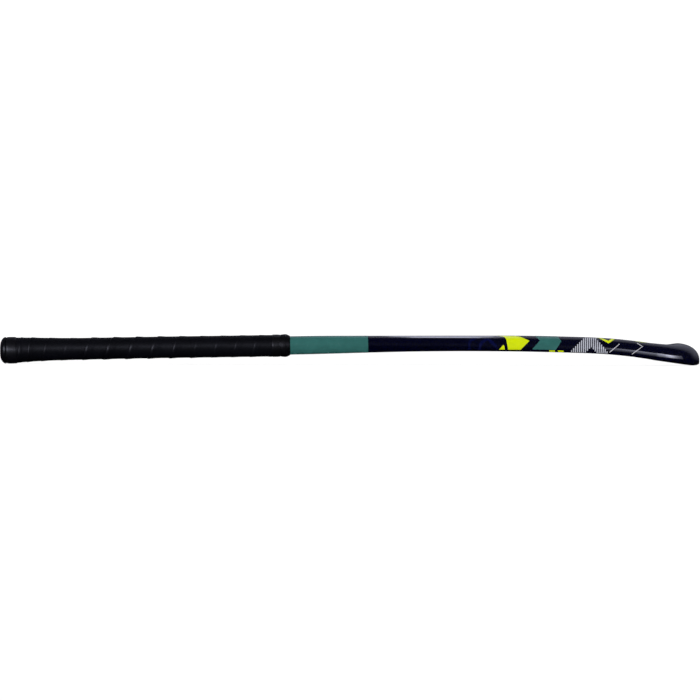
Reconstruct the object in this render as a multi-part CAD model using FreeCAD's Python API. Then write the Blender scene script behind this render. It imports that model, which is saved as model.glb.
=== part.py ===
import FreeCAD, Part
import math
import os

# A field hockey stick, lying face down with its bow upwards and both ends on the ground.
# +X runs from the butt end to the hook, +Y towards the toe, +Z up. Millimetres throughout.
# "station" is a distance along the stick: along X from the butt end as far as the head, then
# along the head's centre line round the hook. "depth" is measured inwards from the bare
# laminate's surface, so a layer that lies outside it has a negative depth.

# --- driving dimensions ---
SHAFT_START = 3.0        # the laminate starts this far inside the butt cap
HEAD_START = 838.0       # here the shaft's curve becomes the flat head plane
HEAD_HEIGHT = 11.1       # height of the face above the ground at the start of the head
HEAD_DROP = math.radians(8.22)
HEAD_STRAIGHT = 29.7     # straight part of the head before the hook
HOOK_RADIUS = 35.0       # centre line of the hook
HOOK_SWEEP = math.radians(165.0)
TOE_LENGTH = 17.0        # rounded end beyond the hook's arc
TOE_LIFT = 4.0           # the toe's tip is this far above the face plane

SKIN = 0.7               # lacquered glass cloth
LAMINATE = 1.5           # carbon laminate under it
SLEEVE = 0.6             # aramid sleeve inside the head
TUBE_WALL = 0.8
SLEEVE_START = 700.0
PLUG_END = 60.0
CORE_START = 835.0

# Where each piece on the handle starts or ends, from the butt end.
CAP_END = 7.6
BAND_START = 10.0
GRIP_START = 22.0
GRIP_END = 361.0
TAPE_END = 371.0
COLLAR_END = 384.0
TEAL_END = 487.2
# How far each layer on the handle stands out from the one under it.
CUSHION = 0.7
WRAP = 1.55
FILM = 0.12              # thickness of paint and print on the lacquer

# Outsides of the turned pieces on the handle: (station, depth) pairs.
CAP_PROFILE = [(0, 7.5), (0.5, 5.0), (1.5, 1.9), (3.0, -0.4), (5.0, -1.8), (CAP_END, -2.4)]
BAND_PROFILE = [(BAND_START, -2.7), (13, -3.0), (19, -3.0), (GRIP_START, -2.6)]
TAPE_PROFILE = [(GRIP_END, -2.4), (366, -2.5), (TAPE_END, -2.3)]
COLLAR_PROFILE = [(TAPE_END, -2.45), (374, -2.9), (377.5, -3.0), (381, -1.9), (COLLAR_END, -0.4)]

STEM_RADIUS = 6.0        # the cap's stem, which plugs into the handle
STEM_START = 1.5         # inside the cap's end, so that the two are one solid
STEM_END = 42.0
BADGE_RADIUS = 9.0
BADGE_DEPTH = 0.8
PANEL_START = 20.0       # along the head plane
PANEL_DEPTH = 0.5
PANEL_MARGIN = 1.5       # of plain face left all round the panel
RECESS_CLEARANCE = 1.0   # how far the panel's recess is cut past the face, to open it
FAR_END = 2000.0         # beyond the hook, for cuts that keep everything past a station

# Shape of the bare stick along its length: (station, value) pairs joined by smooth curves.
HOOK_START = HEAD_START + HEAD_STRAIGHT
HOOK_END = HOOK_START + HOOK_RADIUS * HOOK_SWEEP
HEAD_NORMAL = FreeCAD.Vector(math.sin(HEAD_DROP), 0, math.cos(HEAD_DROP))


def hook_station(degrees):
    return HOOK_START + HOOK_RADIUS * math.radians(degrees)


FACE_HEIGHT = [
    (0, 2.9), (18, 3.2), (40, 4.9), (66, 6.4), (110, 7.7), (200, 9.8), (300, 11.5), (400, 13.35),
    (500, 16.2), (560, 17.5), (620, 18.0), (680, 17.75), (740, 16.7), (785, 15.4), (812, 13.75),
    (HEAD_START, HEAD_HEIGHT),
]
THICKNESS = [
    (0, 29.5), (18, 29.2), (40, 27.6), (66, 25.7), (110, 24.4), (200, 24.1), (400, 24.1), (488, 22.3),
    (560, 21.0), (620, 20.7), (700, 21.2), (800, 21.3), (850, 21.3), (HOOK_START, 22.0),
    (hook_station(30), 23.2), (hook_station(60), 25.6), (hook_station(90), 27.2),
    (hook_station(120), 26.4), (hook_station(150), 23.6), (hook_station(165), 21.8),
]
WIDTH = [
    (0, 32.0), (18, 31.5), (66, 29.8), (110, 29.5), (300, 29.5), (400, 30.5), (500, 33.5), (600, 38.5),
    (700, 43.5), (770, 46.0), (HEAD_START, 46.4), (HOOK_START, 46.8), (hook_station(60), 48.5),
    (hook_station(90), 49.0), (hook_station(120), 46.5), (hook_station(150), 41.0),
    (hook_station(165), 38.5),
]
# The rounding between the face and the sides: its width on the heel's outer edge and on the
# inner edge, and its height.
OUTER_ROUND = [
    (0, 13.5), (400, 12.5), (500, 11.0), (600, 8.0), (700, 5.5), (800, 4.5), (HOOK_START, 5.0),
    (hook_station(30), 8.0), (hook_station(60), 12.0), (hook_station(90), 14.0),
    (hook_station(120), 12.0), (hook_station(150), 8.0), (hook_station(165), 6.0),
]
INNER_ROUND = [(0, 13.5), (400, 12.5), (500, 11.0), (600, 8.0), (700, 5.5), (800, 4.5), (970, 4.5)]
ROUND_HEIGHT = [
    (0, 14.0), (110, 12.0), (400, 11.5), (500, 9.5), (600, 7.0), (700, 5.2), (800, 4.5), (970, 4.3),
]
# The back's ridge moves towards the inside of the hook, and the back is fuller than an ellipse.
RIDGE_SHIFT = [
    (0, 0.0), (HOOK_START, 0.0), (hook_station(30), 1.2), (hook_station(90), 3.5),
    (hook_station(150), 2.0), (hook_station(165), 1.5),
]
BACK_FULLNESS = [(0, 0.7071), (400, 0.7071), (700, 0.78), (HEAD_START, 0.82), (hook_station(90), 0.88)]
ROUND_FULLNESS = math.sqrt(0.5)

SHAFT_STATIONS = [
    SHAFT_START, 10, 18, 28, 40, 52, 66, 86, 110, 150, 200, 250, 300, 350, 400, 450, 500, 560, 620,
    680, 740, 785, 812, HEAD_START, 853,
]
HOOK_ANGLES = [0, 15, 30, 45, 60, 75, 90, 105, 120, 135, 150, 165]
TOE_FRACTIONS = [0.3, 0.55, 0.75, 0.89, 0.97]


def slope(points, i):
    """Slope at one point of a curve, zero at a peak so that the curve never overshoots."""
    if i == 0 or i == len(points) - 1:
        j = max(i, 1)
        return (points[j][1] - points[j - 1][1]) / (points[j][0] - points[j - 1][0])
    before = (points[i][1] - points[i - 1][1]) / (points[i][0] - points[i - 1][0])
    after = (points[i + 1][1] - points[i][1]) / (points[i + 1][0] - points[i][0])
    if before * after <= 0:
        return 0.0
    return 2 * before * after / (before + after)


def along(points, station):
    """Value of a (station, value) curve, held level beyond its two ends."""
    if station <= points[0][0]:
        return points[0][1]
    for i in range(len(points) - 1):
        x0, y0 = points[i]
        x1, y1 = points[i + 1]
        if station <= x1:
            step = x1 - x0
            t = (station - x0) / step
            m0, m1 = slope(points, i) * step, slope(points, i + 1) * step
            rise = t * t * (3 - 2 * t)
            return y0 + (y1 - y0) * rise + m0 * t * (1 - t) ** 2 - m1 * t * t * (1 - t)
    return points[-1][1]


def face_height(x):
    """Height of the face above the ground, on the shaft's curve or on the straight head plane."""
    if x > HEAD_START:
        return HEAD_HEIGHT - (x - HEAD_START) * math.tan(HEAD_DROP)
    return along(FACE_HEIGHT, x)


def frame_at(station):
    """Origin on the face's centre line, the axis towards the toe side and the axis off the face."""
    if station <= HEAD_START:
        reach = 8.0
        tilt = math.atan((face_height(station + reach) - face_height(station - reach)) / (2 * reach))
        origin = FreeCAD.Vector(station, 0, face_height(station))
        return origin, FreeCAD.Vector(0, 1, 0), FreeCAD.Vector(-math.sin(tilt), 0, math.cos(tilt))
    turn = min(max(station - HOOK_START, 0) / HOOK_RADIUS, HOOK_SWEEP)
    past = max(station - HOOK_END, 0)
    u = min(station - HEAD_START, HEAD_STRAIGHT) + HOOK_RADIUS * math.sin(turn) + past * math.cos(turn)
    v = HOOK_RADIUS * (1 - math.cos(turn)) + past * math.sin(turn)
    return head_point(u, v), head_direction(-math.sin(turn), math.cos(turn)), HEAD_NORMAL


def head_direction(u, v):
    """A direction in the face's plane at the head: u along the shaft, v towards the toe."""
    return FreeCAD.Vector(u * math.cos(HEAD_DROP), v, -u * math.sin(HEAD_DROP))


def head_point(u, v):
    """A point of the head's face: u along the head plane, v towards the toe."""
    return FreeCAD.Vector(HEAD_START, 0, HEAD_HEIGHT) + head_direction(u, v)


def conic(start, corner, end, fullness):
    """A quarter of an ellipse, or of a fuller curve, from its two ends and its outer corner."""
    curve = Part.BezierCurve()
    curve.setPoles([start, corner, end])
    curve.setWeight(2, fullness)
    return curve.toShape()


def section(station, depth, shrink=1.0):
    """One closed cross-section: a flat face, two rounded edges and a domed back."""
    origin, side, up = frame_at(station)
    half = (along(WIDTH, station) / 2 - depth) * shrink
    low = depth + TOE_LIFT * (1 - shrink)
    top = low + (along(THICKNESS, station) - 2 * depth) * shrink ** 0.7
    outer = max(along(OUTER_ROUND, station) - depth, 1.0) * shrink
    inner = max(along(INNER_ROUND, station) - depth, 1.0) * shrink
    edge = low + max(along(ROUND_HEIGHT, station) - depth, 1.0) * shrink
    ridge = along(RIDGE_SHIFT, station) * shrink
    fullness = along(BACK_FULLNESS, station)

    def at(across, height):
        return origin + side * across + up * height

    face_out, face_in = at(outer - half, low), at(half - inner, low)
    side_out, side_in = at(-half, edge), at(half, edge)
    crown = at(ridge, top)
    return Part.Wire([
        Part.makeLine(face_out, face_in),
        conic(face_in, at(half, low), side_in, ROUND_FULLNESS),
        conic(side_in, at(half, top), crown, fullness),
        conic(crown, at(-half, top), side_out, fullness),
        conic(side_out, at(-half, low), face_out, ROUND_FULLNESS),
    ])


def whole_stick(depth):
    """The bare stick's solid, inset by depth: shaft, hook and rounded toe in one loft."""
    sections = [section(station, depth) for station in SHAFT_STATIONS]
    sections += [section(hook_station(angle), depth) for angle in HOOK_ANGLES]
    toe = TOE_LENGTH - depth
    for fraction in TOE_FRACTIONS:
        shrink = math.sqrt(1 - fraction ** 2)
        sections.append(section(HOOK_END + toe * fraction, depth, shrink))
    return Part.makeLoft(sections, True, False)


def stretch(start, end, depth):
    """A plain length of the stick, inset by depth, such as the outside of a grip layer."""
    stations = [start] + [s for s in SHAFT_STATIONS if start + 1 < s < end - 1] + [end]
    return Part.makeLoft([section(station, depth) for station in stations], True, False)


def turned_profile(points):
    """A short length whose depth changes along it, from (station, depth) pairs."""
    return Part.makeLoft([section(station, depth) for station, depth in points], True, False)


def slab(start, end, low_y=-100.0, high_y=200.0):
    """Everything between two distances from the butt end, over a range of widths."""
    height = 300.0
    return Part.makeBox(end - start, high_y - low_y, height, FreeCAD.Vector(start, low_y, -height / 3))


# --- artwork, as outlines of (distance from the butt end, fraction of the stick's height) ---
# Fractions over 1 run across the back, so that the two sides' prints join there.
OVER_BACK = 1.2
LIME_BLOCK = [
    (653.5, OVER_BACK), (658.5, 0.985), (666.5, 0.93), (669.2, 0.78), (670.4, 0.5), (671.7, 0.115),
    (688.2, 0.115), (699.9, 0.68), (688.3, 0.92), (681.0, 0.985), (676.0, OVER_BACK),
]
LIME_CORNER = [(659.9, 0.115), (665.4, 0.42), (666.9, 0.33), (667.4, 0.115)]
TEAL_CHEVRON = [
    (703.4, 0.15), (713.6, 0.71), (707.4, 0.98), (701.5, OVER_BACK), (731.0, OVER_BACK),
    (737.4, 0.98), (741.9, 0.71), (734.9, 0.15),
]
LIME_DASHES = [
    [(726.4, 0.02), (725.8, 0.12), (733.4, 0.12), (733.9, 0.02)],
    [(738.0, 0.02), (737.2, 0.12), (744.6, 0.12), (745.4, 0.02)],
]
LIME_VEE = [
    (788.0, 0.985), (791.0, 0.97), (803.6, 0.68), (811.4, 0.97), (812.2, 0.985), (807.6, 0.985),
    (807.0, 0.97), (803.3, 0.84), (795.0, 0.97), (793.6, 0.985),
]
LIME_FAR_VEE = [(834.0, OVER_BACK), (837.0, 0.985), (844.5, 0.96), (852.0, 0.985), (855.0, OVER_BACK)]
WHITE_SLASH = [(805.0, 0.14), (816.6, 0.67), (816.2, 0.7), (818.2, 0.69), (806.5, 0.14)]
WHITE_ARROW = [
    (834.4, 0.16), (846.8, 0.705), (839.6, 0.855), (840.2, 0.885), (848.2, 0.72), (835.9, 0.16),
]
BLUE_ARCHES = [
    [
        (619.0, 0.07), (618.7, 0.45), (619.8, 0.64), (622.3, 0.79), (626.6, 0.91), (632.5, 0.965),
        (633.2, 0.86), (627.8, 0.745), (624.6, 0.65), (622.8, 0.55), (621.8, 0.42), (622.0, 0.07),
    ],
    [
        (632.2, 0.07), (633.4, 0.46), (635.8, 0.62), (639.4, 0.76), (644.3, 0.88), (644.3, 0.7),
        (641.2, 0.58), (638.4, 0.48), (636.8, 0.38), (635.2, 0.07),
    ],
    [
        (644.5, 0.88), (648.4, 0.76), (652.0, 0.62), (655.8, 0.46), (657.8, 0.3), (658.4, 0.12),
        (655.5, 0.12), (654.8, 0.22), (652.4, 0.36), (649.4, 0.48), (646.5, 0.61), (644.5, 0.7),
    ],
]
HATCH_START, HATCH_END = 753.0, 805.4
HATCH_PEAK = (773.0, 786.0)
HATCH_NOTCH = (773.4, 781.1, 789.7)
HATCH_NOTCH_HEIGHT, HATCH_LOW = 0.41, 0.04
STRIPE_PITCH, STRIPE_WIDTH = 2.6, 1.4


def prism(outline):
    """An outline of the artwork, pushed right through the stick from side to side."""
    beside = 60.0
    points = []
    for distance, fraction in outline:
        height = face_height(distance) + fraction * along(THICKNESS, distance)
        points.append(FreeCAD.Vector(distance, -beside, height))
    face = Part.Face(Part.makePolygon(points + points[:1]))
    return face.extrude(FreeCAD.Vector(0, 2 * beside, 0))


def hatch_stripes():
    """Upright bars that fill an inverted V."""
    bars = []
    middle = HATCH_START + STRIPE_PITCH
    while middle < HATCH_END - STRIPE_WIDTH:
        if middle < HATCH_PEAK[0]:
            high = (middle - HATCH_START) / (HATCH_PEAK[0] - HATCH_START)
        elif middle <= HATCH_PEAK[1]:
            high = 1.0
        else:
            high = (HATCH_END - middle) / (HATCH_END - HATCH_PEAK[1])
        left, apex, right = HATCH_NOTCH
        notch = 0.0
        if left < middle < right:
            notch = 1 - abs(middle - apex) / ((apex - left) if middle < apex else (right - apex))
        low = max(HATCH_LOW, notch * HATCH_NOTCH_HEIGHT)
        top = OVER_BACK if high > 0.98 else HATCH_LOW + high * (1 - HATCH_LOW)
        start, end = middle - STRIPE_WIDTH / 2, middle + STRIPE_WIDTH / 2
        bars.append([(start, low), (start, top), (end, top), (end, low)])
        middle += STRIPE_PITCH
    return bars


def printed(film, outlines):
    """The thin film of paint or print that an artwork's outlines cut from the lacquer's surface."""
    pieces = [film.common(prism(outline)) for outline in outlines]
    return Part.makeCompound([solid for piece in pieces for solid in piece.Solids])


def structure(nodes):
    """The layers of the bare stick, from the lacquered skin to the tubes and foam inside it."""
    bare = whole_stick(0)
    under_skin = whole_stick(SKIN)
    under_laminate = whole_stick(SKIN + LAMINATE)
    under_sleeve = whole_stick(SKIN + LAMINATE + SLEEVE)
    tube_bore = whole_stick(SKIN + LAMINATE + SLEEVE + TUBE_WALL)

    panel, recess = face_panel()
    nodes["playing_face_panel"] = panel
    nodes["outer_skin"] = bare.cut(under_skin).cut(recess)
    nodes["carbon_laminate"] = under_skin.cut(under_laminate)
    nodes["aramid_head_sleeve"] = under_laminate.common(slab(SLEEVE_START, FAR_END)).cut(under_sleeve)
    cavity = under_laminate.cut(nodes["aramid_head_sleeve"])
    for side, low_y, high_y in (("heel", -100.0, 0.0), ("toe", 0.0, 100.0)):
        outside = cavity.common(slab(PLUG_END, CORE_START, low_y, high_y))
        web_low = low_y if side == "heel" else TUBE_WALL
        web_high = -TUBE_WALL if side == "heel" else high_y
        inside = tube_bore.common(slab(PLUG_END - 5, CORE_START + 5, web_low, web_high))
        nodes["inner_tube_" + side] = outside.cut(inside)
    nodes["head_foam_core"] = cavity.common(slab(CORE_START, FAR_END))
    nodes["handle_plug"] = cavity.common(slab(SHAFT_START, PLUG_END)).cut(stem())
    return bare


def panel_edge(station, across):
    """A point on the flat of the face, across from the centre line towards the toe side."""
    origin, side, _ = frame_at(station)
    return origin + side * across


def panel_limits(station):
    """How far the flat face reaches each way from the centre line, less a margin."""
    half = along(WIDTH, station) / 2
    outer = half - along(OUTER_ROUND, station) - PANEL_MARGIN
    inner = half - along(INNER_ROUND, station) - PANEL_MARGIN
    return -outer, inner


def face_panel():
    """The flat gripping panel on the hook's face, and the recess that it lies flush in."""
    stations = [HEAD_START + PANEL_START, HOOK_START] + [hook_station(a) for a in HOOK_ANGLES[1:]]
    outer = [panel_edge(s, panel_limits(s)[0]) for s in stations]
    inner = [panel_edge(s, panel_limits(s)[1]) for s in stations]
    outer_curve, inner_curve = Part.BSplineCurve(), Part.BSplineCurve()
    outer_curve.interpolate(outer)
    inner_curve.interpolate(inner)
    tip = panel_edge(HOOK_END + TOE_LENGTH * 0.6, 0)
    wire = Part.Wire([
        outer_curve.toShape(),
        Part.Arc(outer[-1], tip, inner[-1]).toShape(),
        inner_curve.toShape(),
        Part.makeLine(inner[0], outer[0]),
    ])
    face = Part.Face(wire)
    panel = face.extrude(HEAD_NORMAL * PANEL_DEPTH)
    face.translate(HEAD_NORMAL * -RECESS_CLEARANCE)
    return panel, face.extrude(HEAD_NORMAL * (RECESS_CLEARANCE + PANEL_DEPTH))


def handle_middle(station):
    """The centre of a handle section."""
    return face_height(station) + along(THICKNESS, station) / 2


def stem():
    """The cap's round stem, from inside the cap's disc to its end in the handle plug."""
    start = FreeCAD.Vector(STEM_START, 0, handle_middle(STEM_START))
    direction = FreeCAD.Vector(STEM_END, 0, handle_middle(STEM_END)) - start
    return Part.makeCylinder(STEM_RADIUS, direction.Length, start, direction)


def handle(nodes, bare):
    """Everything fitted round the handle, from the cap to the collar."""
    cushion_body = stretch(CAP_END, TAPE_END, -CUSHION)
    nodes["grip_cushion"] = cushion_body.cut(bare)
    nodes["grip_wrap"] = stretch(GRIP_START, GRIP_END, -CUSHION - WRAP).cut(cushion_body)
    nodes["butt_band"] = turned_profile(BAND_PROFILE).cut(cushion_body)
    nodes["finishing_tape"] = turned_profile(TAPE_PROFILE).cut(cushion_body)
    nodes["grip_collar"] = turned_profile(COLLAR_PROFILE).cut(bare)
    cap = turned_profile(CAP_PROFILE)
    badge = Part.makeCylinder(
        BADGE_RADIUS, BADGE_DEPTH, FreeCAD.Vector(0, 0, handle_middle(0)), FreeCAD.Vector(1, 0, 0)
    )
    nodes["butt_badge"] = badge.common(cap)
    nodes["butt_cap"] = cap.cut(bare).cut(badge).fuse(stem()).removeSplitter()


def artwork(nodes, bare):
    """The paint and prints, each a thin film on the lacquer."""
    film = whole_stick(-FILM).cut(bare)
    nodes["paint_teal_band"] = film.common(slab(COLLAR_END, TEAL_END))
    nodes["print_lime_block"] = printed(film, [LIME_BLOCK])
    nodes["print_lime_corner"] = printed(film, [LIME_CORNER])
    nodes["print_teal_chevron"] = printed(film, [TEAL_CHEVRON])
    nodes["print_lime_dashes"] = printed(film, LIME_DASHES)
    nodes["print_lime_vee"] = printed(film, [LIME_VEE])
    nodes["print_lime_far_vee"] = printed(film, [LIME_FAR_VEE])
    nodes["print_white_slash"] = printed(film, [WHITE_SLASH])
    nodes["print_white_arrow"] = printed(film, [WHITE_ARROW])
    nodes["print_blue_arches"] = printed(film, BLUE_ARCHES)
    nodes["print_striped_chevron"] = printed(film, hatch_stripes())


def main():
    """Makes every piece, stands the whole on its origin and writes each piece to its own file."""
    nodes = {}
    bare = structure(nodes)
    handle(nodes, bare)
    artwork(nodes, bare)
    box = Part.makeCompound(list(nodes.values())).optimalBoundingBox()
    shift = FreeCAD.Vector(-(box.XMin + box.XMax) / 2, -(box.YMin + box.YMax) / 2, -box.ZMin)
    os.makedirs("parts", exist_ok=True)
    for name, shape in nodes.items():
        shape.translate(shift)
        shape.exportStep(os.path.join("parts", name + ".step"))
        print(name, len(shape.Solids), "solids", round(shape.Volume, 1), "mm3", shape.isValid())
    print("shift", tuple(round(v, 4) for v in shift))


main()
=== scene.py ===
import math

import bmesh
import bpy
import numpy as np
from mathutils import Matrix, Vector


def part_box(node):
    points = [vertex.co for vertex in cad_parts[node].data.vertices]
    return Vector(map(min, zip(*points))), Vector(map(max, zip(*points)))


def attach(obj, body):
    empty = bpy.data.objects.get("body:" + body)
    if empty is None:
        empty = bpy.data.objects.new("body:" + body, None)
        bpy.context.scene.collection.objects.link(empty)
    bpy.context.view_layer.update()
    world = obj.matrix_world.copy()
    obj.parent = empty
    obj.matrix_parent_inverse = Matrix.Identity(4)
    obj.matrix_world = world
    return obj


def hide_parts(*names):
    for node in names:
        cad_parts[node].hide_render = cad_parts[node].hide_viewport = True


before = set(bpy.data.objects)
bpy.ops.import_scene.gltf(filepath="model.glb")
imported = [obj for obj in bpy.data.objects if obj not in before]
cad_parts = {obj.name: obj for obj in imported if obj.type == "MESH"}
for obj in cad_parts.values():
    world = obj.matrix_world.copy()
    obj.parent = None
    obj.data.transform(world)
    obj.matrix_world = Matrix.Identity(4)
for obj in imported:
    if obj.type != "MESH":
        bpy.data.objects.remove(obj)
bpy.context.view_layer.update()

MM = 0.001

# ---------------------------------------------------------------------------------------------
# The stick's own coordinates. A station is a distance in millimetres from the butt end, along the
# shaft and then along the head's centre line round the hook. Depth is measured inwards from the
# bare laminate. The frame says where the butt end and the handle's centre line lie.
# ---------------------------------------------------------------------------------------------
cap_low, cap_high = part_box("butt_cap")
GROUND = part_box("outer_skin")[0].z
BUTT_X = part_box("butt_badge")[0].x
MIDDLE_Y = (cap_low.y + cap_high.y) / 2

HEAD_START = 838.0
HEAD_HEIGHT = 11.1
HEAD_DROP = math.radians(8.22)
HEAD_STRAIGHT = 29.7
HOOK_RADIUS = 35.0
HOOK_SWEEP = math.radians(165.0)
TOE_LENGTH = 17.0
TOE_LIFT = 4.0
TOE_ROUNDING = 0.7       # under 1, so that the toe's height falls off more slowly than its width
LEAST_ROUND = 1.0        # of any edge, however deep the layer lies
HOOK_START = HEAD_START + HEAD_STRAIGHT
HOOK_END = HOOK_START + HOOK_RADIUS * HOOK_SWEEP
SHAFT_START = 3.0
LOWEST = -0.1            # height of the bare stick's lowest point, which lies on the ground


def hook_station(degrees):
    return HOOK_START + HOOK_RADIUS * math.radians(degrees)


FACE_HEIGHT = [
    (0, 2.9), (18, 3.2), (40, 4.9), (66, 6.4), (110, 7.7), (200, 9.8), (300, 11.5), (400, 13.35),
    (500, 16.2), (560, 17.5), (620, 18.0), (680, 17.75), (740, 16.7), (785, 15.4), (812, 13.75),
    (HEAD_START, HEAD_HEIGHT),
]
THICKNESS = [
    (0, 29.5), (18, 29.2), (40, 27.6), (66, 25.7), (110, 24.4), (200, 24.1), (400, 24.1), (488, 22.3),
    (560, 21.0), (620, 20.7), (700, 21.2), (800, 21.3), (850, 21.3), (HOOK_START, 22.0),
    (hook_station(30), 23.2), (hook_station(60), 25.6), (hook_station(90), 27.2),
    (hook_station(120), 26.4), (hook_station(150), 23.6), (hook_station(165), 21.8),
]
WIDTH = [
    (0, 32.0), (18, 31.5), (66, 29.8), (110, 29.5), (300, 29.5), (400, 30.5), (500, 33.5), (600, 38.5),
    (700, 43.5), (770, 46.0), (HEAD_START, 46.4), (HOOK_START, 46.8), (hook_station(60), 48.5),
    (hook_station(90), 49.0), (hook_station(120), 46.5), (hook_station(150), 41.0),
    (hook_station(165), 38.5),
]
OUTER_ROUND = [
    (0, 13.5), (400, 12.5), (500, 11.0), (600, 8.0), (700, 5.5), (800, 4.5), (HOOK_START, 5.0),
    (hook_station(30), 8.0), (hook_station(60), 12.0), (hook_station(90), 14.0),
    (hook_station(120), 12.0), (hook_station(150), 8.0), (hook_station(165), 6.0),
]
INNER_ROUND = [(0, 13.5), (400, 12.5), (500, 11.0), (600, 8.0), (700, 5.5), (800, 4.5), (970, 4.5)]
ROUND_HEIGHT = [
    (0, 14.0), (110, 12.0), (400, 11.5), (500, 9.5), (600, 7.0), (700, 5.2), (800, 4.5), (970, 4.3),
]
RIDGE_SHIFT = [
    (0, 0.0), (HOOK_START, 0.0), (hook_station(30), 1.2), (hook_station(90), 3.5),
    (hook_station(150), 2.0), (hook_station(165), 1.5),
]
BACK_FULLNESS = [(0, 0.7071), (400, 0.7071), (700, 0.78), (HEAD_START, 0.82), (hook_station(90), 0.88)]
ROUND_FULLNESS = math.sqrt(0.5)

# Where each layer starts and ends, and how far it stands out from the bare stick.
CAP_END, BAND_START, GRIP_START, GRIP_END = 7.6, 10.0, 22.0, 361.0
TAPE_END, COLLAR_END, TEAL_END = 371.0, 384.0, 487.2
CUSHION, WRAP, FILM, THIN_FILM = 0.7, 1.55, 0.12, 0.07
SUNK = 0.05              # how far a layer's inside reaches into the lacquer
PANEL_START = HEAD_START + 20.0
PANEL_MARGIN = 1.5       # of plain face left beside the panel
PANEL_REACH = 0.6        # share of the toe's length that the panel runs on to

# Points along the flat, each rounding and each half of the back in a cross-section.
FLAT_STEPS, ROUND_STEPS, BACK_STEPS = 10, 8, 20
# Offsets in millimetres and their weights, over which a curve along the stick is averaged.
EASING = ((-9, 0.15), (-4.5, 0.2), (0, 0.3), (4.5, 0.2), (9, 0.15))
TILT_REACH = 8.0         # each way, to measure the shaft's slope


def slope(points, i):
    """Slope at one point of a curve, zero at a peak so that the curve never overshoots."""
    if i == 0 or i == len(points) - 1:
        j = max(i, 1)
        return (points[j][1] - points[j - 1][1]) / (points[j][0] - points[j - 1][0])
    before = (points[i][1] - points[i - 1][1]) / (points[i][0] - points[i - 1][0])
    after = (points[i + 1][1] - points[i][1]) / (points[i + 1][0] - points[i][0])
    if before * after <= 0:
        return 0.0
    return 2 * before * after / (before + after)


def exact(points, station):
    """Value of a (station, value) curve, held level beyond its two ends."""
    if station <= points[0][0]:
        return points[0][1]
    for i in range(len(points) - 1):
        x0, y0 = points[i]
        x1, y1 = points[i + 1]
        if station <= x1:
            step = x1 - x0
            t = (station - x0) / step
            m0, m1 = slope(points, i) * step, slope(points, i + 1) * step
            rise = t * t * (3 - 2 * t)
            return y0 + (y1 - y0) * rise + m0 * t * (1 - t) ** 2 - m1 * t * t * (1 - t)
    return points[-1][1]


def eased(curve, station):
    """A curve's value, averaged over a few millimetres so that reflections run along it unbroken."""
    return sum(weight * curve(station + offset) for offset, weight in EASING)


def along(points, station):
    return eased(lambda s: exact(points, s), station)


def exact_face_height(x):
    if x > HEAD_START:
        return HEAD_HEIGHT - (x - HEAD_START) * math.tan(HEAD_DROP)
    return exact(FACE_HEIGHT, x)


def face_height(x):
    return eased(exact_face_height, x)


def frame_at(station):
    """Origin on the face's centre line, the axis towards the toe side and the axis off the face."""
    if station <= HEAD_START:
        rise = face_height(station + TILT_REACH) - face_height(station - TILT_REACH)
        tilt = math.atan(rise / (2 * TILT_REACH))
        origin = np.array([station, 0, face_height(station)])
        return origin, np.array([0, 1.0, 0]), np.array([-math.sin(tilt), 0, math.cos(tilt)])
    turn = min(max(station - HOOK_START, 0) / HOOK_RADIUS, HOOK_SWEEP)
    past = max(station - HOOK_END, 0)
    u = min(station - HEAD_START, HEAD_STRAIGHT) + HOOK_RADIUS * math.sin(turn) + past * math.cos(turn)
    v = HOOK_RADIUS * (1 - math.cos(turn)) + past * math.sin(turn)
    down, flat = math.sin(HEAD_DROP), math.cos(HEAD_DROP)
    origin = np.array([HEAD_START + u * flat, v, HEAD_HEIGHT - u * down])
    side = np.array([-math.sin(turn) * flat, math.cos(turn), math.sin(turn) * down])
    return origin, side, np.array([down, 0, flat])


def conic(start, corner, end, fullness, steps):
    """Points of a quarter of an ellipse, or of a fuller curve, without the last one."""
    t = np.arange(steps)[:, None] / steps
    a, b, c = (1 - t) ** 2, 2 * fullness * t * (1 - t), t ** 2
    return (a * np.array(start) + b * np.array(corner) + c * np.array(end)) / (a + b + c)


def outline(station, depth, shrink=1.0):
    """One cross-section as (across, height) points, from the heel end of the flat round by the toe."""
    half = (along(WIDTH, station) / 2 - depth) * shrink
    low = depth + TOE_LIFT * (1 - shrink)
    top = low + (along(THICKNESS, station) - 2 * depth) * shrink ** TOE_ROUNDING
    outer = max(along(OUTER_ROUND, station) - depth, LEAST_ROUND) * shrink
    inner = max(along(INNER_ROUND, station) - depth, LEAST_ROUND) * shrink
    edge = low + max(along(ROUND_HEIGHT, station) - depth, LEAST_ROUND) * shrink
    ridge = along(RIDGE_SHIFT, station) * shrink
    fullness = along(BACK_FULLNESS, station)
    flat = np.linspace((outer - half, low), (half - inner, low), FLAT_STEPS + 1)[:-1]
    return np.vstack([
        flat,
        conic((half - inner, low), (half, low), (half, edge), ROUND_FULLNESS, ROUND_STEPS),
        conic((half, edge), (half, top), (ridge, top), fullness, BACK_STEPS),
        conic((ridge, top), (-half, top), (-half, edge), fullness, BACK_STEPS),
        conic((-half, edge), (-half, low), (outer - half, low), ROUND_FULLNESS, ROUND_STEPS),
    ])


def place(points):
    """From the stick's own millimetres to the frame's metres."""
    points = np.asarray(points, float)
    return points * MM + np.array([BUTT_X, MIDDLE_Y, GROUND - LOWEST * MM])


def ring(station, depth, shrink=1.0, flat=None):
    """A cross-section's points in the frame."""
    origin, side, up = frame_at(station)
    flat = outline(station, depth, shrink) if flat is None else flat
    return place(origin + flat[:, :1] * side + flat[:, 1:] * up)


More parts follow.
